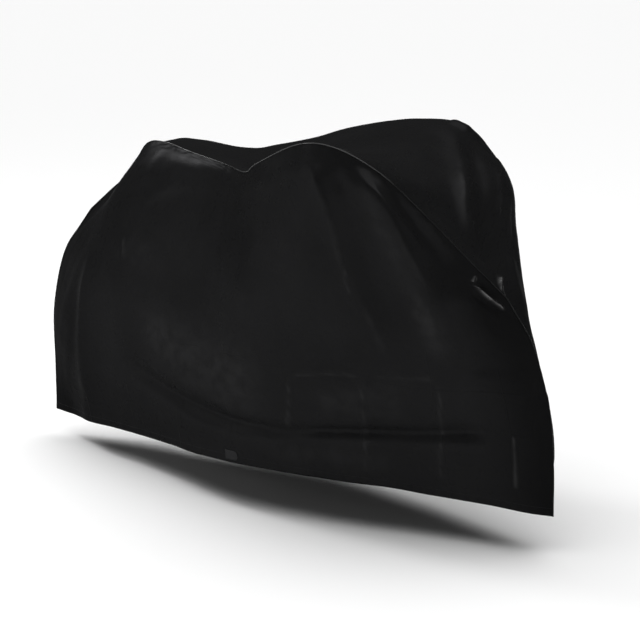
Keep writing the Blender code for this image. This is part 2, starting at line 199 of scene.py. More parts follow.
# Finer folds: the tuck, the pocket's edge, wrinkles, lines left by the packing, and rubbed places
RIGHT_FINE_FOLDS = (
    Fold("tuck_lip", ((12.9, 0.19), (13.2, 0.186), (13.72, 0.15)), 0.009, 0.0045, polish=1.0),
    Fold("tuck_lip_back", ((13.1, 0.06), (13.0, 0.12), (12.9, 0.19)), 0.008, 0.0045, polish=0.6),
    Fold("tuck_hollow", ((13.08, 0.13), (13.3, 0.13), (13.62, 0.11)), -0.012, 0.01),
    Fold("tuck_under", ((12.85, 0.24), (13.2, 0.235), (13.6, 0.2)), -0.006, 0.014),
    Fold("grip_ridge_edge", ((10.6, 0.06), (11.3, 0.26), (11.8, 0.4)), 0.004, 0.012, polish=0.03),
    Fold("grip_ridge_band", ((10.25, 0.06), (10.9, 0.3), (11.35, 0.48)), 0.002, 0.03, 0.4, polish=0.03),
    Fold("grip_ridge_shine", ((11.1, 0.34), (11.42, 0.49), (11.72, 0.66)), 0.003, 0.036, 0.5, polish=0.07),
    Fold("grip_back_line", ((9.35, 0.18), (9.8, 0.36), (9.92, 0.5)), 0.004, 0.01, 0.4, polish=0.03),
    Fold("grip_back_foot", ((10.12, 0.48), (10.32, 0.57), (10.48, 0.66)), 0.003, 0.012, 0.4, polish=0.03),
    Fold("wall_wrinkle", ((9.98, 0.435), (9.93, 0.468), (9.98, 0.505)), 0.004, 0.005, polish=0.1),
    Fold("rear_wrinkle", ((3.82, 0.425), (3.88, 0.455), (4.03, 0.49)), 0.003, 0.005, polish=0.12),
    Fold("packing_rear", ((8.47, 0.726), (8.35, 0.8), (8.2, 0.875)), 0.002, 0.006, 0.1, polish=0.05),
    Fold("packing_middle", ((9.91, 0.709), (9.8, 0.81), (9.58, 0.985)), 0.0024, 0.006, 0.1, polish=0.07),
    Fold("packing_front", ((11.4, 0.655), (11.25, 0.8), (11.0, 0.965)), 0.0022, 0.006, 0.1, polish=0.06),
    Fold("packing_corner", ((12.86, 0.72), (12.8, 0.82), (12.74, 0.93)), 0.0026, 0.006, 0.1, polish=0.1),
    Fold("packing_behind", ((8.47, 0.726), (9.2, 0.717), (9.91, 0.709)), 0.0016, 0.006, 0.1, polish=0.035),
    Fold("packing_ahead", ((10.15, 0.701), (10.8, 0.68), (11.38, 0.655)), 0.0014, 0.006, 0.1, polish=0.035),
    Fold("packed_belly", ((8.6, 0.8), (9.6, 0.78), (11.0, 0.76)), 0.001, 0.07, polish=0.03),
    Fold("rubbed_belly", ((4.3, 0.6), (6.2, 0.72), (8.4, 0.78)), 0.001, 0.12, polish=0.035),
    Fold("saddle_side", ((3.6, 0.285), (4.6, 0.262), (5.7, 0.222)), 0.003, 0.04, 0.4),
    Fold("rubbed_hem", ((6.6, 0.938), (9.0, 0.936), (11.2, 0.918)), 0.0008, 0.045, 0.4, polish=0.03),
    Fold("rubbed_rear", ((3.4, 0.43), (4.2, 0.47), (5.2, 0.46)), 0.001, 0.05, polish=0.02),
    Fold("rear_skirt_crease", ((8.2, 0.884), (6.2, 0.86), (4.2, 0.793)), -0.0022, 0.006),
    Fold("front_skirt_crease", ((7.9, 0.883), (10.4, 0.845), (12.6, 0.743)), -0.0028, 0.006),
)

LEFT_FINE_FOLDS = (
    Fold("pocket_edge", ((13.05, 0.135), (13.42, 0.085), (13.86, 0.06)), 0.018, 0.005, polish=0.8),
    Fold("strip_crease_upper", ((10.54, 0.244), (11.27, 0.223), (12.08, 0.202)), 0.0045, 0.006, polish=0.3),
    Fold("strip_crease_lower", ((11.4, 0.258), (12.0, 0.24), (12.55, 0.227)), 0.004, 0.005, polish=0.15),
    Fold("far_grip_shine", ((10.0, 0.19), (11.0, 0.15), (12.4, 0.1)), 0.002, 0.02, polish=0.04),
)

# How much wider each fold ends than it starts, and the steps along its path
FOLD_FAN = 0.35
FOLD_STEPS = 25


def curve_through(knots: Grid, values: Grid, at: Grid) -> Grid:
    """Smooth curve through given values.

    Args:
        knots: Rising places of the values.
        values: One row of numbers for each knot.
        at: Places to read the curve at.

    Returns:
        One row of numbers for each place.
    """
    knots = np.asarray(knots, float)
    values = np.asarray(values, float)
    steps = np.diff(knots)[:, None]
    slopes = np.diff(values, axis=0) / steps
    inner = (slopes[:-1] * steps[1:] + slopes[1:] * steps[:-1]) / (steps[:-1] + steps[1:])
    tangents = np.vstack([slopes[:1], inner, slopes[-1:]])
    i = np.clip(np.searchsorted(knots, at, side="right") - 1, 0, len(knots) - 2)
    h = steps[i]
    t = ((at - knots[i]) / h[:, 0])[:, None]
    return (
        (2 * t**3 - 3 * t**2 + 1) * values[i]
        + (t**3 - 2 * t**2 + t) * h * tangents[i]
        + (3 * t**2 - 2 * t**3) * values[i + 1]
        + (t**3 - t**2) * h * tangents[i + 1]
    )


def unit(vectors: Grid) -> Grid:
    """Vectors of length 1 along the last axis."""
    return vectors / np.linalg.norm(vectors, axis=-1, keepdims=True)


def smoothstep(values: Grid) -> Grid:
    """0 to 1 with soft ends, for values from 0 to 1."""
    v = np.clip(values, 0, 1)
    return v * v * (3 - 2 * v)


def hump(distance: Grid, width: float | Grid) -> Grid:
    """A rounded hump of height 1 and the given half width."""
    return np.exp(-((distance / width) ** 2))


def distance_to_line(points: Grid, line: Grid) -> tuple[Grid, Grid]:
    """How far each point lies from a chain of straight segments.

    Args:
        points: Any array of points, with x, y and z last.
        line: The chain's corners, one row each.

    Returns:
        The distance of each point, and its place along the chain from 0 to 1.
    """
    best = np.full(points.shape[:-1], np.inf)
    place = np.zeros(points.shape[:-1])
    count = len(line) - 1
    for k, (a, b) in enumerate(zip(line[:-1], line[1:])):
        run = b - a
        t = np.clip(((points - a) @ run) / (run @ run), 0, 1)
        gap = np.linalg.norm(points - a - t[..., None] * run, axis=-1)
        nearer = gap < best
        best[nearer] = gap[nearer]
        place[nearer] = (k + t[nearer]) / count
    return best, place


@dataclass(frozen=True)
class Ripple:
    """A smooth random field made of plane waves, the same each run."""

    seed: int
    wavelength: float
    stretch: Triple = (1.0, 1.0, 1.0)
    waves: int = 24
    spread: float = 0.45
    calm: float = 1.6

    def at(self, points: Grid) -> Grid:
        """Value of the field.

        Args:
            points: Points in metres, with x, y and z last.

        Returns:
            One value for each point, mostly between -1 and 1.
        """
        draw = np.random.default_rng(self.seed)
        total = np.zeros(points.shape[:-1])
        for _ in range(self.waves):
            heading = unit(draw.normal(size=3)) / self.stretch
            length = self.wavelength * np.exp(draw.normal() * self.spread)
            phase = draw.uniform(0, 2 * np.pi)
            total += np.sin(points @ heading * (2 * np.pi / length) + phase)
        return total * np.sqrt(2 / self.waves) / self.calm


@dataclass(frozen=True)
class Relief:
    """How uneven the limp film is: long upright waves, a finer crumple, and gathers along the seam."""

    wave: float = 0.34
    wave_stretch: Triple = (1.0, 1.0, 1.6)
    wave_height: float = 0.0028
    crumple: float = 0.12
    crumple_height: float = 0.0006
    pucker: float = 0.024
    pucker_reach: float = 0.006
    pucker_height: float = 0.00066

    def heights(self, points: Grid, edge_gap: Grid, seed: int) -> tuple[Grid, Grid]:
        """Heights of the waves and the crumple, and of the gathers, which die out into the panel.

        Args:
            points: The panel's surface.
            edge_gap: Distance of each point from the seam.
            seed: Start of the panel's random draws.

        Returns:
            Both heights for each point.
        """
        waves = Ripple(seed, self.wave, self.wave_stretch).at(points) * self.wave_height
        crumple = Ripple(seed + 1, self.crumple).at(points) * self.crumple_height
        rise = edge_gap / self.pucker_reach * np.exp(1 - edge_gap / self.pucker_reach)
        return waves + crumple, Ripple(seed + 3, self.pucker).at(points) * self.pucker_height * rise


@dataclass(frozen=True)
class Hem:
    """The turned-in hem: how far it reaches and stands out, and where its stitches sink in."""

    height: float = 0.024
    swell: float = 0.0011
    edge: float = 0.006
    stitches_at: float = 0.021
    sink: float = 0.0009
    sink_width: float = 0.004

    def relief(self, above: Grid) -> Grid:
        """Extra height of the film, by its distance above the panel's lower edge."""
        band = 1 - smoothstep((above - self.height) / self.edge)
        return self.swell * band - self.sink * hump(above - self.stitches_at, self.sink_width)


@dataclass
class Panel:
    """One side of the cover: its sections, its folds and its mesh."""

    hand: Hand
    rows: tuple[SideRow, ...]
    folds: tuple[Fold, ...]
    fine_folds: tuple[Fold, ...]
    cut: Span
    cut_area: float
    seed: int = 11
    columns: int = 290
    front_from: float = 12.2
    front_share: float = 0.24
    top_steps: int = 40
    wall_steps: int = 118
    edge_thinning: int = 4
    hem_thinning: int = 6
    thickness: float = 0.0012
    seam_gap: float = 0.0003
    top_level: float = 0.12
    crest_level: float = 0.24
    belly_level: float = 0.5
    skirt_level: float = 0.8
    seam_fade: float = 0.03
    relief: Relief = Relief()
    hem: Hem = Hem()
    points: Grid = field(init=False)
    normals: Grid = field(init=False)
    polish: Grid = field(init=False)

    @property
    def name(self) -> str:
        """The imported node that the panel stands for."""
        return f"{self.hand.name.lower()}_panel"

    @property
    def stations(self) -> Grid:
        """Places of the columns, counted in rows of the tables, and closer together at the front.

        Returns:
            One station for each column.
        """
        last = len(SEAM_ROWS) - 1
        share = np.interp(np.linspace(0, 1, self.columns + 1), [0, 1 - self.front_share, 1], [0, 1, 2])
        behind = share * self.front_from
        ahead = self.front_from + (share - 1) * (last - self.front_from)
        return np.where(share < 1, behind, ahead)

    @property
    def levels(self) -> Grid:
        """Places of the mesh rows, from the seam at 0 to the hem at 1.

        Returns:
            One level for each row.
        """
        top = np.linspace(0, self.crest_level, self.top_steps + 1)
        wall = np.linspace(self.crest_level, 1, self.wall_steps + 1)
        return np.concatenate([top, wall[1:]])

    def smooth_surface(self) -> Grid:
        """Outer surface without folds.

        Returns:
            Grid of columns by levels by x, y and z.
        """
        rows = np.arange(len(SEAM_ROWS))
        seam = curve_through(rows, SEAM_ROWS, self.stations)
        side = curve_through(rows, [r.values() for r in self.rows], self.stations)
        wall = np.array([self.crest_level, self.belly_level, self.skirt_level, 1])
        drop = (wall - self.crest_level) / (1 - self.crest_level)
        knots = np.concatenate([[0, self.top_level], wall])
        points = np.empty((len(self.stations), len(self.levels), 3))
        for i, (sag, *crest, belly_y, skirt_y, hem_x, hem_y, hem_z, lean) in enumerate(side):
            top = (seam[i] + crest) / 2 - (0, 0, sag)
            x = crest[0] + (hem_x - crest[0]) * (1 - (1 - drop) ** lean)
            y = [crest[1], belly_y, skirt_y, hem_y]
            z = crest[2] + (hem_z - crest[2]) * drop
            line = np.vstack([seam[i], top, np.stack([x, y, z], 1)])
            points[i] = curve_through(knots, line, self.levels)
        return points - ORIGIN

    def outward(self, points: Grid) -> Grid:
        """Unit normals of a grid, pointing out of the cover."""
        along, down = np.gradient(points, axis=(0, 1))
        return unit(np.cross(along, down)) * self.hand.value

    def place(self, grid: Grid, station: float, level: float) -> Grid:
        """Point of a grid between its columns and rows.

        Args:
            grid: Values for each column and row.
            station: Place along the cover.
            level: Place from the seam to the hem.

        Returns:
            The value there.
        """
        u = np.interp(station, self.stations, np.arange(grid.shape[0]))
        v = np.interp(level, self.levels, np.arange(grid.shape[1]))
        i = int(min(u, grid.shape[0] - 2))
        j = int(min(v, grid.shape[1] - 2))
        near = grid[i, j] * (1 - v + j) + grid[i, j + 1] * (v - j)
        far = grid[i + 1, j] * (1 - v + j) + grid[i + 1, j + 1] * (v - j)
        return near * (1 - u + i) + far * (u - i)

    def fold_shape(self, points: Grid, fold: Fold) -> Grid:
        """Share of one fold's full height, over the whole grid.

        Args:
            points: The surface without folds.
            fold: The fold.

        Returns:
            One share from 0 to 1 for each point.
        """
        path = curve_through(np.linspace(0, 1, len(fold.path)), fold.path, np.linspace(0, 1, FOLD_STEPS))
        line = np.array([self.place(points, station, level) for station, level in path])
        gap, along = distance_to_line(points, line)
        swell = smoothstep(np.minimum(along, 1 - along) / fold.fade)
        return swell * hump(gap, fold.width * (1 + FOLD_FAN * (2 * along - 1)))

    def edge_line(self, grid: Grid) -> Grid:
        """The grid's values along the seam: up the rear end, over the top and down the front."""
        return np.concatenate([grid[0, :0:-1], grid[:, 0], grid[-1, 1:]])

    def hang(self) -> None:
        """Work out the hanging surface: sections, folds, unevenness, puckers and hem."""
        smooth = self.smooth_surface()
        edge_gap, _ = distance_to_line(smooth, self.edge_line(smooth)[::self.edge_thinning])
        height, puckers = self.relief.heights(smooth, edge_gap, self.seed)
        self.polish = np.zeros(smooth.shape[:2])
        for fold in self.folds + self.fine_folds:
            shape = self.fold_shape(smooth, fold)
            height += fold.height * shape
            self.polish = np.maximum(self.polish, fold.polish * shape**2)
        height = height * (1 - hump(edge_gap, self.seam_fade)) + puckers
        points = smooth + self.outward(smooth) * height[..., None]
        above_hem, _ = distance_to_line(points, points[::self.hem_thinning, -1])
        self.points = points + self.outward(points) * self.hem.relief(above_hem)[..., None]
        self.normals = self.outward(self.points)

    def away_from(self, other: Panel) -> Grid:
        """Unit directions out of the cover along the seam that two panels share.

        Args:
            other: The panel on the far side of the seam.

        Returns:
            One direction for each point of the seam.
        """
        line = self.edge_line(self.points)
        run = unit(np.gradient(line, axis=0))
        out = np.zeros_like(line)
        for panel in (self, other):
            columns, rows = panel.points.shape[:2]
            inside = np.ix_(np.clip(np.arange(columns), 1, columns - 2), np.maximum(np.arange(rows), 1))
            into = panel.edge_line(panel.points[inside]) - line
            out += panel.edge_line(panel.normals) - unit(into)
        out -= run * (out * run).sum(axis=1, keepdims=True)
        return unit(out)

    def mesh_object(self, other: Panel) -> Piece:
        """Closed thin mesh of the panel, with a UV map in metres of cloth.

        Args:
            other: The panel on the far side of the shared seam.

        Returns:
            The new object, at the origin.
        """
        line = self.edge_line(self.points)
        out = self.away_from(other)
        run = unit(np.gradient(line, axis=0))
        across = np.cross(run, out) * -self.hand.value * self.seam_gap / 2
        outer = self.points.copy()
        inner = self.points - self.normals * self.thickness
        for grid, values in ((outer, line + across), (inner, line + across - out * self.thickness)):
            columns, rows = grid.shape[0], grid.shape[1] - 1
            grid[0, :0:-1] = values[:rows]
            grid[:, 0] = values[rows:rows + columns]
            grid[-1, 1:] = values[rows + columns:]
        sheet = grid_shell(self.name + "_film", outer, inner, self.hand is Hand.LEFT)
        shine = sheet.data.attributes.new("polish", "FLOAT", "POINT")
        shine.data.foreach_set("value", np.tile(self.polish.ravel(), 2))
        return sheet


def cloth_lengths(points: Grid) -> tuple[Grid, Grid]:
    """Lengths along the cloth.

    Args:
        points: Grid of the cloth's outer face.

    Returns:
        For each point, its distance from the first column and from the hem, in metres.
    """
    along = np.linalg.norm(np.diff(points, axis=0), axis=2).mean(axis=1)
    down = np.linalg.norm(np.diff(points, axis=1), axis=2)
    u = np.concatenate([[0], np.cumsum(along)])
    v = np.concatenate([np.zeros((len(points), 1)), np.cumsum(down, axis=1)], axis=1)
    return np.repeat(u[:, None], points.shape[1], axis=1), v[:, -1:] - v


def in_scene(name: str, data: bpy.types.ID) -> Piece:
    """New object of the scene, at the origin.

    Args:
        name: Its name.
        data: Its mesh, light or camera.

    Returns:
        The object.
    """
    thing = bpy.data.objects.new(name, data)
    bpy.context.scene.collection.objects.link(thing)
    return thing


def grid_shell(name: str, outer: Grid, inner: Grid, flip: bool) -> Piece:
    """Closed object between two grids of the same size.

    Args:
        name: The object's name.
        outer: Grid of the outer face.
        inner: Grid of the inner face.
        flip: Whether the grid turns the other way, as seen from outside.

    Returns:
        The new object, at the origin, with its UV map in metres.
    """
    columns, rows = outer.shape[:2]
    half = columns * rows
    number = np.arange(half).reshape(columns, rows)
    corners = (number[:-1, :-1], number[:-1, 1:], number[1:, 1:], number[1:, :-1])
    quads = np.stack(corners, -1).reshape(-1, 4)
    rim = np.concatenate([number[:, 0], number[-1, 1:], number[-2::-1, -1], number[0, -2:0:-1]])
    after = np.roll(rim, -1)
    edge = np.stack([rim, after, after + half, rim + half], -1)
    faces = np.concatenate([quads, quads[:, ::-1] + half, edge])
    if flip:
        faces = faces[:, ::-1]
    mesh = bpy.data.meshes.new(name)
    vertices = np.concatenate([outer.reshape(-1, 3), inner.reshape(-1, 3)])
    mesh.from_pydata(vertices.tolist(), [], faces.tolist())
    flat = np.stack([np.tile(length.ravel(), 2) for length in cloth_lengths(outer)], -1)
    vertex_of = np.empty(len(mesh.loops), dtype=np.int32)
    mesh.loops.foreach_get("vertex_index", vertex_of)
    mesh.uv_layers.new(name="cloth").data.foreach_set("uv", flat[vertex_of].ravel())
    mesh.shade_smooth()
    return in_scene(name, mesh)


# Where most values of a noise lie
NOISE_SPAN = (0.35, 0.65)


def times(share: float, colour: Triple) -> Triple:
    """A colour made darker or lighter."""
    return tuple(share * part for part in colour)


class Wiring:
    """A node tree, whose nodes are added and linked by short calls."""

    def __init__(self, tree: bpy.types.NodeTree) -> None:
        """Take the tree that the nodes go into."""
        self.tree = tree

    def add(self, kind: str, **values: object) -> bpy.types.Node:
        """New node.

        Args:
            kind: Blender's name of the node's type.
            **values: Its properties, or its inputs by their names with spaces as underscores.

        Returns:
            The node.
        """
        node = self.tree.nodes.new(kind)
        for key, value in values.items():
            if hasattr(node, key):
                setattr(node, key, value)
            else:
                self.feed(node.inputs[key.replace("_", " ")], value)
        return node

    def feed(self, socket: Socket, value: object) -> None:
        """Link an input to an output, or set it.

        Args:
            socket: The input.
            value: An output of another node, or a plain value.
        """
        if isinstance(value, Socket):
            self.tree.links.new(value, socket)
        else:
            socket.default_value = value

    def range(self, value: Socket, start: Span, end: Span, step: str = "LINEAR") -> Socket:
        """One range of numbers brought to another, and kept inside it.

        Args:
            value: The output to bring over.
            start: Its range.
            end: The range it is brought to.
            step: The Map Range node's interpolation.

        Returns:
            The result's output.
        """
        node = self.add("ShaderNodeMapRange", interpolation_type=step, Value=value)
        for key, limit in zip(("From Min", "From Max", "To Min", "To Max"), (*start, *end)):
            node.inputs[key].default_value = limit
        return node.outputs[0]


class FinishNodes(Wiring):
    """The nodes of one material, around its Principled shader."""

    def __init__(self, name: str) -> None:
        """Start a material.

        Args:
            name: The material's name.
        """
        self.material = bpy.data.materials.new(name)
        self.material.use_nodes = True
        super().__init__(self.material.node_tree)

    def shade(self, **values: object) -> None:
        """Set or link inputs of the Principled shader, named with underscores for spaces."""
        for key, value in values.items():
            self.feed(self.tree.nodes["Principled BSDF"].inputs[key.replace("_", " ")], value)

    def math(self, operation: str, a: object, b: object) -> Socket:
        """Sum, product or the like of two outputs or numbers.

        Args:
            operation: The Math node's operation.
            a: First output or number.
            b: Second output or number.

        Returns:
            The result's output.
        """
        node = self.add("ShaderNodeMath", operation=operation)
        self.feed(node.inputs[0], a)
        self.feed(node.inputs[1], b)
        return node.outputs[0]

    def noise(self, place: Socket, **values: float) -> Socket:
        """Output of a noise, from 0 to 1."""
        return self.add("ShaderNodeTexNoise", Vector=place, **values).outputs["Fac"]

    def bump(self, **values: object) -> Socket:
        """Normal output of a Bump node."""
        return self.add("ShaderNodeBump", **values).outputs[0]

    def blend(self, share: Socket, start: Triple, end: Triple) -> Socket:
        """Colour between two colours.

        Args:
            share: 0 for the first colour, 1 for the second.
            start: First colour.
            end: Second colour.

        Returns:
            The colour's output.
        """
        # The colours of a Mix node are its inputs 6 and 7 and its output 2
        node = self.add("ShaderNodeMix", data_type="RGBA", Factor=share)
        node.inputs[6].default_value = (*start, 1)
        node.inputs[7].default_value = (*end, 1)
        return node.outputs[2]

    def between_ends(self, along: Socket, rear: Span, front: Span) -> Socket:
        """Share that rises to 1 over the rear range, along the cover, and falls to 0 over the front range."""
        behind = self.range(along, rear, (0.0, 1.0))
        return self.math("MULTIPLY", behind, self.range(along, front, (1.0, 0.0)))


@dataclass(frozen=True)
class FilmFinish:
    """Black coated film: soft gloss, fine grain, packing creases, faint crumple, and duller ends with painted
    shade.
    """

    name: str
    dark: Triple = (0.011, 0.011, 0.0113)
    light: Triple = (0.016, 0.016, 0.0165)
    roughness: Span = (0.26, 0.32)
    sheen: float = 0.35
    dull: float = 0.12
    # Painted shade: share of the film's colour left at both ends, which darkens them
    shade: float = 0.6
    rear_fade: Span = (0.1, 0.42)
    front_fade: Span = (1.8, 2.02)
    rub_noise: Span = (0.35, 0.62)
    rub: Span = (0.35, 1.3)
    crease_pitch: Span = (0.232, 0.115)
    crease_shift: Span = (0.18, 0.02)
    crease_bend: float = 0.018
    crease_patches: Span = (0.42, 0.6)
    crease_reach: Span = (0.35, 0.5)
    crease_rest: float = 0.12
    crease_width: float = 0.003

    def material(self) -> Material:
        """The finish as a node material that reads the cloth's own UV map.

        Returns:
            The material.
        """
        nodes = FinishNodes(self.name)
        cloth = nodes.add("ShaderNodeUVMap", uv_map="cloth").outputs[0]
        broad = nodes.noise(cloth, Scale=5.0, Detail=3.0)
        crumple = nodes.noise(cloth, Scale=34.0, Detail=4.0, Roughness=0.62)
        along = nodes.add("ShaderNodeSeparateXYZ", Vector=cloth).outputs["X"]
        middle = nodes.between_ends(along, self.rear_fade, self.front_fade)
        film = nodes.blend(broad, self.dark, self.light)
        # Painted shade: the film's colour falls towards both ends, down to the share shade
        tone = nodes.range(middle, (0.0, 1.0), (self.shade, 1.0))
        painted_shade_film = nodes.add("ShaderNodeVectorMath", operation="SCALE", Vector=film, Scale=tone)
        polish = nodes.add("ShaderNodeAttribute", attribute_name="polish").outputs["Fac"]
        rubbed = nodes.range(nodes.noise(cloth, Scale=26.0, Detail=2.0), self.rub_noise, self.rub)
        nodes.shade(
            Base_Color=painted_shade_film.outputs[0],
            Roughness=nodes.range(crumple, NOISE_SPAN, self.roughness),
            Metallic=nodes.range(middle, (0.0, 1.0), (self.dull * self.sheen, self.sheen)),
            Specular_IOR_Level=0.0,
            Specular_Tint=(0.5, 0.5, 0.5, 1.0),
            Coat_Weight=nodes.math("MULTIPLY", polish, rubbed),
            Coat_Roughness=0.22,
            Coat_IOR=1.9,
            Normal=self.surface(nodes, cloth, broad, crumple),
        )
        return nodes.material

    def surface(self, nodes: FinishNodes, cloth: Socket, broad: Socket, crumple: Socket) -> Socket:
        """Normal of the crumpled, creased and grained film.

        Args:
            nodes: The material's nodes.
            cloth: The UV map in metres.
            broad: Noise that fades the creases here and there.
            crumple: Noise of the crumple.

        Returns:
            The normal's output.
        """
        creases = self.creases(nodes, cloth, nodes.noise(cloth, Scale=3.0, Detail=1.0), broad)
        grain = nodes.add("ShaderNodeTexVoronoi", Vector=cloth, Scale=700.0).outputs["Distance"]
        low = nodes.bump(Strength=0.08, Distance=0.0008, Height=crumple)
        mid = nodes.bump(Strength=0.9, Distance=0.0009, Height=creases, Normal=low)
        return nodes.bump(Strength=0.1, Distance=0.0004, Height=grain, Normal=mid)

    def creases(self, nodes: FinishNodes, cloth: Socket, wander: Socket, strength: Socket) -> Socket:
        """Height of the sharp lines left by the cover's packing, in a wandering grid.

        Args:
            nodes: The material's nodes.
            cloth: The UV map in metres.
            wander: Noise that bends the lines.
            strength: Noise that fades them here and there.

        Returns:
            The height, 0 away from the lines.
        """
        split = nodes.add("ShaderNodeSeparateXYZ", Vector=cloth)
        bend = nodes.math("MULTIPLY", nodes.math("SUBTRACT", wander, 0.5), self.crease_bend)
        lines = []
        for axis, pitch, shift in zip("XY", self.crease_pitch, self.crease_shift):
            place = nodes.math("ADD", nodes.math("ADD", split.outputs[axis], bend), shift)
            saw = nodes.math("PINGPONG", place, pitch / 2)
            lines.append(nodes.range(saw, (0.0, self.crease_width), (1.0, 0.0)))
        both = nodes.math("ADD", lines[0], nodes.math("MULTIPLY", lines[1], 0.5))
        low = nodes.range(split.outputs["Y"], self.crease_reach, (1.0, self.crease_rest))
        here = nodes.math("MULTIPLY", nodes.range(strength, self.crease_patches, (0.0, 1.0)), low)
        return nodes.math("MULTIPLY", both, here)


@dataclass(frozen=True)
class WeltFinish:
    """Black film where it is turned over the seam: glossier, but duller towards the ends."""

    name: str = "black_welt"
    colour: Triple = (0.016, 0.016, 0.0165)
    tones: Span = (0.6, 1.4)
    roughness: Span = (0.2, 0.42)
    gloss: float = 0.45
    dull: float = 0.12
    rear_fade: Span = (-0.16, -0.08)
    front_fade: Span = (0.92, 1.02)

    def material(self) -> Material:
        """The finish as a node material on object coordinates.

        Returns:
            The material.
        """
        nodes = FinishNodes(self.name)
        place = nodes.add("ShaderNodeTexCoord").outputs["Object"]
        worn = nodes.noise(place, Scale=22.0, Detail=3.0)
        along = nodes.add("ShaderNodeSeparateXYZ", Vector=place).outputs["X"]
        middle = nodes.between_ends(along, self.rear_fade, self.front_fade)
        nodes.shade(
            Base_Color=nodes.blend(worn, *(times(tone, self.colour) for tone in self.tones)),
            Roughness=nodes.range(worn, NOISE_SPAN, self.roughness),
            Specular_IOR_Level=nodes.range(middle, (0.0, 1.0), (self.dull * self.gloss, self.gloss)),
        )
        return nodes.material


@dataclass(frozen=True)
class ThreadFinish:
    """Black sewing thread, with its twist."""

    name: str = "black_thread"
    colour: Triple = (0.012, 0.012, 0.013)
    tones: Span = (0.6, 1.5)

    def material(self) -> Material:
        """The finish as a node material on object coordinates.

        Returns:
            The material.
        """
        nodes = FinishNodes(self.name)
        place = nodes.add("ShaderNodeTexCoord").outputs["Object"]
        twist = nodes.add("ShaderNodeTexWave", Vector=place, Scale=900.0, Distortion=1.5).outputs["Fac"]
        worn = nodes.noise(place, Scale=60.0)
        nodes.shade(
            Base_Color=nodes.blend(worn, *(times(tone, self.colour) for tone in self.tones)),
            Roughness=0.55,
            Specular_IOR_Level=0.3,
            Normal=nodes.bump(Strength=0.5, Distance=0.0002, Height=twist),
        )
        return nodes.material


class Growth(Wiring):
    """A Geometry Nodes tree that grows a trim along given lines."""

    def __init__(self, name: str, **sizes: float) -> None:
        """Start a tree.

        Args:
            name: The tree's name.
            **sizes: Its number inputs.
        """
        super().__init__(bpy.data.node_groups.new(name, "GeometryNodeTree"))
        self.sizes = sizes
        socket = self.tree.interface.new_socket
        socket("Geometry", in_out="INPUT", socket_type="NodeSocketGeometry")
        socket("Geometry", in_out="OUTPUT", socket_type="NodeSocketGeometry")
        for key in sizes:
            socket(key, in_out="INPUT", socket_type="NodeSocketFloat")
        self.given = self.add("NodeGroupInput").outputs
        self.curve = self.add("GeometryNodeMeshToCurve", Mesh=self.given["Geometry"]).outputs["Curve"]

    def end(self, shape: Socket, material: Material) -> None:
        """End the tree in Realize Instances and Set Material.

        Args:
            shape: Output of the finished shape.
            material: Its material.
        """
        real = self.add("GeometryNodeRealizeInstances", Geometry=shape)
        paint = self.add("GeometryNodeSetMaterial", Geometry=real.outputs["Geometry"], Material=material)
        self.add("NodeGroupOutput", Geometry=paint.outputs["Geometry"])

    def along(self, name: str, line: Grid) -> Piece:
        """Grow the trim along a line.

        Args:
            name: Name of the new object.
            line: The line's points, one row each.

        Returns:
            A plain mesh object at the origin, with no modifier.
        """
        guide = bpy.data.meshes.new(name + "_line")
        guide.from_pydata(line.tolist(), [(i, i + 1) for i in range(len(line) - 1)], [])
        carrier = in_scene(name + "_guide", guide)
        modifier = carrier.modifiers.new("grow", "NODES")
        modifier.node_group = self.tree
        for item in self.tree.interface.items_tree:
            if item.name in self.sizes:
                modifier[item.identifier] = self.sizes[item.name]
        ready = carrier.evaluated_get(bpy.context.evaluated_depsgraph_get())
        mesh = bpy.data.meshes.new_from_object(ready)
        mesh.name = name
        mesh.shade_smooth()
        bpy.data.objects.remove(carrier, do_unlink=True)
        return in_scene(name, mesh)


@dataclass(frozen=True)
class Welt:
    """Narrow round welt of the seam allowance, sunk partly into the film."""

    radius: float = 0.0014
    spacing: float = 0.006
    sides: int = 8
    lift: float = 0.45

    def growth(self, material: Material) -> Growth:
        """The tree that sweeps the welt's section along the seam.

        Args:
            material: The welt's material.

        Returns:
            The tree, with the inputs Radius and Spacing.
        """
        grow = Growth("welt", Radius=self.radius, Spacing=self.spacing)
        radius, spacing = (grow.given[key] for key in grow.sizes)
        even = grow.add("GeometryNodeResampleCurve", mode="LENGTH", Curve=grow.curve, Length=spacing)
        circle = grow.add("GeometryNodeCurvePrimitiveCircle", Resolution=self.sides, Radius=radius)
        sweep = grow.add(
            "GeometryNodeCurveToMesh",
            Curve=even.outputs["Curve"],
            Profile_Curve=circle.outputs["Curve"],
            Fill_Caps=True,
        )
        grow.end(sweep.outputs["Mesh"], material)
        return grow


@dataclass(frozen=True)
class Stitching:
    """Row of short stitches."""

    pitch: float = 0.0042
    length: float = 0.003
    width: float = 0.0008
    lift: float = 0.2
    segments: int = 6
    rings: int = 4
    end_gap: int = 2

    def growth(self, thread: Material) -> Growth:
        """The tree that lays the stitches along a line.

        Args:
            thread: Their material.

        Returns:
            The tree, with the inputs Pitch, Length and Width.
        """
        grow = Growth("stitching", Pitch=self.pitch, Length=self.length, Width=self.width)
        pitch, length, width = (grow.given[key] for key in grow.sizes)
        places = grow.add("GeometryNodeCurveToPoints", mode="LENGTH", Curve=grow.curve, Length=pitch)
        ball = grow.add("GeometryNodeMeshUVSphere", Segments=self.segments, Rings=self.rings, Radius=0.5)
        size = grow.add("ShaderNodeCombineXYZ", X=length, Y=width, Z=width)
        turn = grow.add("FunctionNodeAlignRotationToVector", axis="X", Vector=places.outputs["Tangent"])
        spread = grow.add(
            "GeometryNodeInstanceOnPoints",
            Points=places.outputs["Points"],
            Instance=ball.outputs["Mesh"],
            Rotation=turn.outputs["Rotation"],
            Scale=size.outputs["Vector"],
        )
        grow.end(spread.outputs["Instances"], thread)
        return grow


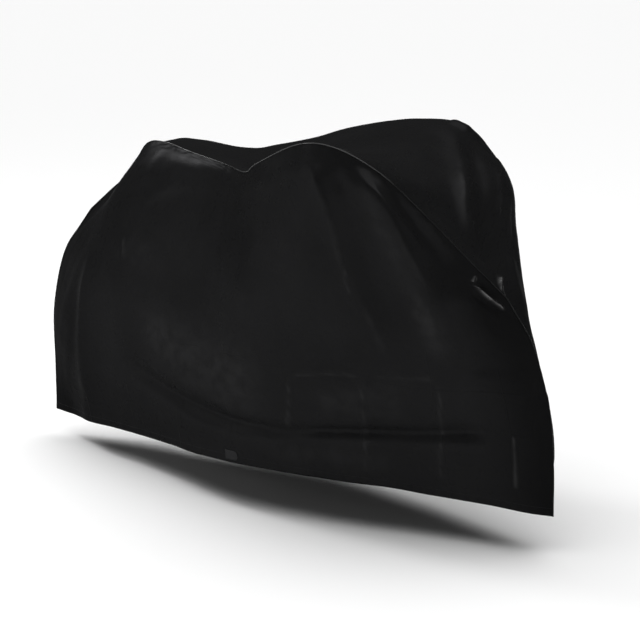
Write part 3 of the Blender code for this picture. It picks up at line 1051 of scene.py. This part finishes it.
@dataclass(frozen=True)
class Patch:
    """Reinforcing patch on the right hem: a short strip with a rounded front end."""

    length: float = 0.05
    height: float = 0.027
    thickness: float = 0.001
    clearance: float = 0.0004
    station: float = 6.9
    above_hem: float = 0.009
    straight_steps: int = 12
    round_steps: int = 8
    cross_steps: int = 9
    area_share: float = 0.96

    def shell(self, panel: Panel) -> Piece:
        """The strip, laid on a panel's film.

        Args:
            panel: The panel that carries it.

        Returns:
            The new object, at the origin.
        """
        hem = panel.place(panel.points, self.station, 1)
        above = panel.place(panel.points, self.station, panel.skirt_level)
        ahead = panel.place(panel.points, self.station + 1, 1)
        level_length = np.linalg.norm(hem - above) / (1 - panel.skirt_level)
        station_length = np.linalg.norm(ahead - hem)
        radius = self.height / 2
        straight = np.linspace(0, self.length - radius, self.straight_steps)
        turn = np.linspace(0, np.pi / 2, self.round_steps + 2)[1:-1]
        along = np.concatenate([straight, straight[-1] + radius * np.sin(turn)])
        half = np.concatenate([np.full(len(straight), radius), radius * np.cos(turn)])
        outer = np.empty((len(along), self.cross_steps, 3))
        inner = np.empty_like(outer)
        for i, (x, reach) in enumerate(zip(along, half)):
            station = self.station + (x - self.length / 2) / station_length
            for j, side in enumerate(np.linspace(-1, 1, self.cross_steps)):
                level = 1 - (self.above_hem + radius - side * reach) / level_length
                normal = panel.place(panel.normals, station, level)
                inner[i, j] = panel.place(panel.points, station, level) + normal * self.clearance
                outer[i, j] = inner[i, j] + normal * self.thickness
        return grid_shell("hem_patch_tape", outer, inner, False)


@dataclass
class Cover:
    """The whole cover: both panels, the seam's welt, the stitched hems and the patch."""

    right: Panel
    left: Panel
    film: FilmFinish
    tape: FilmFinish
    thread: ThreadFinish = ThreadFinish()
    edge: WeltFinish = WeltFinish()
    welt: Welt = Welt()
    stitching: Stitching = Stitching()
    patch: Patch = Patch()

    def build(self) -> list[Piece]:
        """Make, dress and declare every piece.

        Returns:
            The pieces.
        """
        self.right.hang()
        self.left.hang()
        film = self.film.material()
        thread = self.thread.material()
        pieces = []
        for panel, other in ((self.right, self.left), (self.left, self.right)):
            sheet = panel.mesh_object(other)
            sheet.data.materials.append(film)
            stitches = self.hem_stitches(panel, thread)
            for piece in (sheet, stitches):
                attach(piece, "root")
                pieces.append(piece)
            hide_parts(panel.name)
        return [*pieces, self.seam_welt(), self.hem_patch()]

    def hem_stitches(self, panel: Panel, thread: Material) -> Piece:
        """Row of stitches that holds a panel's turned-in hem.

        Args:
            panel: The panel.
            thread: The stitches' material.

        Returns:
            The new object.
        """
        line = []
        for column, normals in zip(panel.points, panel.normals):
            up = np.linalg.norm(np.diff(column[::-1], axis=0), axis=1)
            height = np.concatenate([[0], np.cumsum(up)])
            place = [np.interp(panel.hem.stitches_at, height, column[::-1, k]) for k in range(3)]
            line.append(place + normals[-1] * self.stitching.width * self.stitching.lift)
        ends = self.stitching.end_gap
        name = f"{panel.hand.name.lower()}_hem_stitches"
        return self.stitching.growth(thread).along(name, np.array(line[ends:-ends]))

    def seam_welt(self) -> Piece:
        """Raised welt, all the way along the seam.

        Returns:
            The new object.
        """
        line = self.right.edge_line(self.right.points)
        out = self.right.away_from(self.left) * self.welt.radius * self.welt.lift
        welt = self.welt.growth(self.edge.material()).along("seam_welt", line + out)
        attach(welt, "root")
        return welt

    def hem_patch(self) -> Piece:
        """The patch, on the right panel.

        Returns:
            The new object.
        """
        piece = self.patch.shell(self.right)
        piece.data.materials.append(self.tape.material())
        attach(piece, "root")
        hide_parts("hem_patch")
        return piece


@dataclass(frozen=True)
class Softbox:
    """One soft area light aimed at the cover."""

    name: str
    place: Triple
    width: float
    height: float
    power: float


@dataclass(frozen=True)
class Studio:
    """Pale floor, soft lights and the camera."""

    camera_place: Triple = (4.07, -4.38, 0.85)
    camera_angles: Triple = (77.0, 0.15, 39.2)
    lens: float = 117.7
    sensor: float = 36.0
    aim: Triple = (0.35, 0.0, -0.35)
    sky_edge: Span = (0.66, 0.84)
    sky_tones: Span = (0.03, 2.5)
    floor_half: float = 60.0
    floor_tone: float = 0.88
    boxes: tuple[Softbox, ...] = (
        Softbox("key_left", (-3.3, -0.7, 2.4), 0.9, 0.9, 60.0),
        Softbox("side_left", (-2.8, -3.1, 0.5), 3.5, 1.6, 19.0),
        Softbox("side_right", (3.5, 3.1, 0.5), 3.5, 1.6, 5.0),
    )

    def build(self) -> None:
        """Make the floor, the sky, the lights and the camera."""
        self.floor()
        self.sky()
        for box in self.boxes:
            self.lamp(box)
        self.camera()

    def lamp(self, box: Softbox) -> None:
        """One area light, turned towards the cover.

        Args:
            box: Its sizes and place.
        """
        light = bpy.data.lights.new(box.name, "AREA")
        light.shape = "RECTANGLE"
        light.size = box.width
        light.size_y = box.height
        light.energy = box.power
        lamp = in_scene(box.name, light)
        lamp.location = box.place
        heading = Vector(self.aim) - Vector(box.place)
        lamp.rotation_euler = heading.to_track_quat("-Z", "Y").to_euler()

    def camera(self) -> None:
        """The camera, and plain tones in its picture."""
        lens = bpy.data.cameras.new("camera")
        lens.lens = self.lens
        lens.sensor_width = self.sensor
        lens.clip_end = 4 * self.floor_half
        view = in_scene("camera", lens)
        view.location = self.camera_place
        view.rotation_euler = np.radians(self.camera_angles)
        bpy.context.scene.camera = view
        bpy.context.scene.view_settings.view_transform = "Standard"

    def floor(self) -> None:
        """Wide plain pale floor."""
        half = self.floor_half
        mesh = bpy.data.meshes.new("floor")
        corners = [(x * half, y * half, GROUND_Z) for x, y in ((-1, -1), (1, -1), (1, 1), (-1, 1))]
        mesh.from_pydata(corners, [], [(0, 1, 2, 3)])
        nodes = FinishNodes("pale_floor")
        nodes.shade(Base_Color=(*[self.floor_tone] * 3, 1.0), Roughness=0.9, Specular_IOR_Level=0.1)
        mesh.materials.append(nodes.material)
        in_scene("floor", mesh)

    def sky(self) -> None:
        """Sky that is bright overhead, as a large soft ceiling light, and dim towards the horizon."""
        world = bpy.data.worlds.new("studio")
        world.use_nodes = True
        sky = Wiring(world.node_tree)
        heading = sky.add("ShaderNodeTexCoord").outputs["Generated"]
        up = sky.add("ShaderNodeSeparateXYZ", Vector=heading).outputs["Z"]
        backdrop = sky.tree.nodes["Background"]
        backdrop.inputs["Color"].default_value = (1.0, 1.0, 1.0, 1.0)
        sky.feed(backdrop.inputs["Strength"], sky.range(up, self.sky_edge, self.sky_tones, "SMOOTHSTEP"))
        bpy.context.scene.world = world


def main() -> None:
    """Build the cover and the studio, and report each piece."""
    logging.basicConfig(level=logging.INFO, format="%(name)s: %(message)s")
    right = Panel(Hand.RIGHT, RIGHT_ROWS, RIGHT_FOLDS, RIGHT_FINE_FOLDS, cut=(1.05, 1.95), cut_area=1.62)
    left = Panel(Hand.LEFT, LEFT_ROWS, LEFT_FOLDS, LEFT_FINE_FOLDS, cut=(1.66, 1.95), cut_area=2.14, seed=31)
    dark, light = (0.027, 0.027, 0.028), (0.033, 0.033, 0.034)
    # The patch takes none of the film's painted end shade
    tape = FilmFinish("black_patch", dark, light, roughness=(0.5, 0.6), shade=1.0)
    for piece in Cover(right, left, FilmFinish("black_film"), tape).build():
        log.info("%s: %d faces", piece.name, len(piece.data.polygons))
    Studio().build()


if __name__ == "__main__":
    main()
